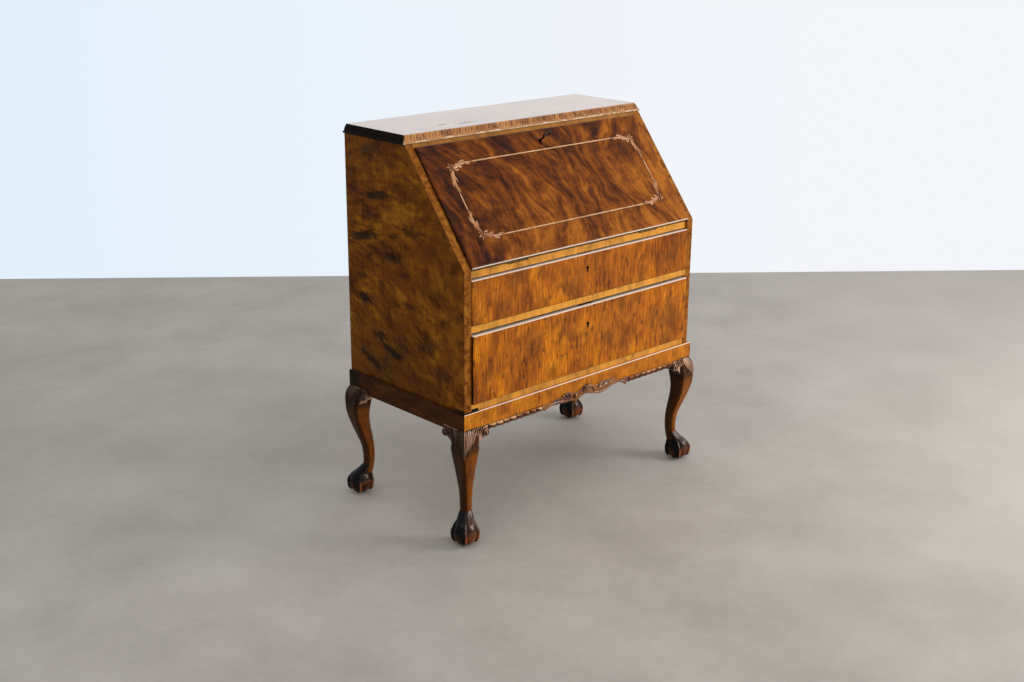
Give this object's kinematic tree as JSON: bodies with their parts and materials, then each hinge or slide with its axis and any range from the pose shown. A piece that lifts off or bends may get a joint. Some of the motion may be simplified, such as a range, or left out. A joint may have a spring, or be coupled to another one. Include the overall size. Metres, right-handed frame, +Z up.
{
  "type": "fall front secretaire",
  "caption": "Slant-front writing desk on carved cabriole legs with ball-and-claw feet; the sloping front falls open on folding stays over a gallery, above long drawers.",
  "frame": {"origin": "on the floor, under the centre of the four feet", "axes": "+Z up, +X to the right of someone facing the front, -Y towards that person"},
  "size_m": [0.925, 0.514, 1.049],
  "materials": {
    "side_veneer": "figured brown veneer, waxed",
    "top_veneer": "figured brown veneer, polished",
    "drawer_veneer": "golden brown veneer with vertical grain, polished",
    "fall_veneer": "red brown crotch veneer, polished",
    "banding": "lighter crossbanded edge, polished",
    "carving": "carved walnut with dark patina",
    "bead": "carved bead, polished",
    "carcass": "plain secondary wood, dry and aged",
    "gallery_wood": "plain walnut, waxed",
    "brass": "aged brass",
    "iron": "dark forged iron",
    "steel": "dull steel"
  },
  "bodies": {
    "case": {"side_left": "side_veneer", "side_right": "side_veneer", "rail_lower": "banding", "rail_middle": "banding", "rail_upper": "banding", "case_bottom_board": "carcass", "writing_bed": "gallery_wood", "dust_board": "carcass", "drawer_runners": "carcass", "back_panel": "carcass", "drawer_stops": "carcass", "head_rail": "banding", "strike_plate": "brass", "top_board": "top_veneer", "top_moulding_front": "carving", "top_moulding_sides": "carving", "leg_front_left": "carving", "leg_front_right": "carving", "leg_back_left": "carving", "leg_back_right": "carving", "apron_front": "drawer_veneer", "apron_carving": "carving", "apron_left": "side_veneer", "apron_right": "side_veneer", "apron_back": "carcass", "gadroon_strips": "carving", "knee_ears": "carving", "corner_blocks": "carcass", "frame_screws": "steel", "hinge_leaves_bed": "brass", "hinge_pins": "steel", "case_screws": "steel", "stay_plates": "brass", "gallery_case": "gallery_wood"},
    "fall": {"fall_panel": "fall_veneer", "fall_string": "bead", "fall_corner_carvings": "carving", "fall_lock": "iron", "hinge_leaves_fall": "brass", "fall_screws": "steel", "stay_brackets": "brass"},
    "fall_bolt": {"fall_bolt": "steel"},
    "key": {"key": "iron"},
    "stay_upper_left": {"stay_upper_left": "brass"},
    "stay_upper_right": {"stay_upper_right": "brass"},
    "stay_lower_left": {"stay_lower_left": "brass"},
    "stay_lower_right": {"stay_lower_right": "brass"},
    "drawer_upper": {"drawer_upper_front": "drawer_veneer", "drawer_upper_box": "carcass", "drawer_upper_bottom": "carcass", "drawer_upper_lock": "iron"},
    "drawer_upper_bolt": {"drawer_upper_bolt": "steel"},
    "drawer_lower": {"drawer_lower_front": "drawer_veneer", "drawer_lower_box": "carcass", "drawer_lower_bottom": "carcass", "drawer_lower_lock": "iron"},
    "drawer_lower_bolt": {"drawer_lower_bolt": "steel"},
    "gallery_drawer_left": {"gallery_drawer_left": "gallery_wood"},
    "gallery_drawer_middle": {"gallery_drawer_middle": "gallery_wood"},
    "gallery_drawer_right": {"gallery_drawer_right": "gallery_wood"}
  },
  "joints": [
    {"name": "fall_hinge", "type": "hinge", "parent": "case", "child": "fall", "pos_m": [0, -0.2267, 0.73706], "axis": [1, 0, 0], "range_deg": [0, 128.1]},
    {"name": "stay_upper_left_pivot", "type": "hinge", "parent": "case", "child": "stay_upper_left", "pos_m": [0, 0.0033, 0.85706], "axis": [1, 0, 0], "range_deg": [0, 151.51]},
    {"name": "stay_lower_left_pivot", "type": "hinge", "parent": "stay_upper_left", "child": "stay_lower_left", "pos_m": [0, 0.08546, 0.9271], "axis": [1, 0, 0], "range_deg": [-159.5, 0]},
    {"name": "stay_upper_right_pivot", "type": "hinge", "parent": "case", "child": "stay_upper_right", "pos_m": [0, 0.0033, 0.85706], "axis": [1, 0, 0], "range_deg": [0, 151.51]},
    {"name": "stay_lower_right_pivot", "type": "hinge", "parent": "stay_upper_right", "child": "stay_lower_right", "pos_m": [0, 0.08546, 0.9271], "axis": [1, 0, 0], "range_deg": [-159.5, 0]},
    {"name": "key_turn", "type": "hinge", "parent": "fall", "child": "key", "pos_m": [0, -0.03399, 0.98282], "axis": [0, -0.7869, 0.6171], "range_deg": [0, 180]},
    {"name": "fall_bolt_slide", "type": "slide", "parent": "fall", "child": "fall_bolt", "axis": [0, 0.6171, 0.7869], "range_m": [0, 0.007]},
    {"name": "drawer_upper_slide", "type": "slide", "parent": "case", "child": "drawer_upper", "axis": [0, -1, 0], "range_m": [0, 0.285]},
    {"name": "drawer_upper_bolt_slide", "type": "slide", "parent": "drawer_upper", "child": "drawer_upper_bolt", "axis": [0, 0, 1], "range_m": [0, 0.005]},
    {"name": "drawer_lower_slide", "type": "slide", "parent": "case", "child": "drawer_lower", "axis": [0, -1, 0], "range_m": [0, 0.285]},
    {"name": "drawer_lower_bolt_slide", "type": "slide", "parent": "drawer_lower", "child": "drawer_lower_bolt", "axis": [0, 0, 1], "range_m": [0, 0.008]},
    {"name": "gallery_drawer_left_slide", "type": "slide", "parent": "case", "child": "gallery_drawer_left", "axis": [0, -1, 0], "range_m": [0, 0.15]},
    {"name": "gallery_drawer_middle_slide", "type": "slide", "parent": "case", "child": "gallery_drawer_middle", "axis": [0, -1, 0], "range_m": [0, 0.15]},
    {"name": "gallery_drawer_right_slide", "type": "slide", "parent": "case", "child": "gallery_drawer_right", "axis": [0, -1, 0], "range_m": [0, 0.15]}
  ],
  "couplings": [
    {"joint": "stay_upper_left_pivot", "follows": "fall_hinge", "ratio": 1.1788},
    {"joint": "stay_lower_left_pivot", "follows": "fall_hinge", "ratio": -1.2412},
    {"joint": "stay_upper_right_pivot", "follows": "fall_hinge", "ratio": 1.1788},
    {"joint": "stay_lower_right_pivot", "follows": "fall_hinge", "ratio": -1.2412},
    {"joint": "key_turn", "follows": "fall_bolt_slide", "rad_per_m": 448.79}
  ]
}
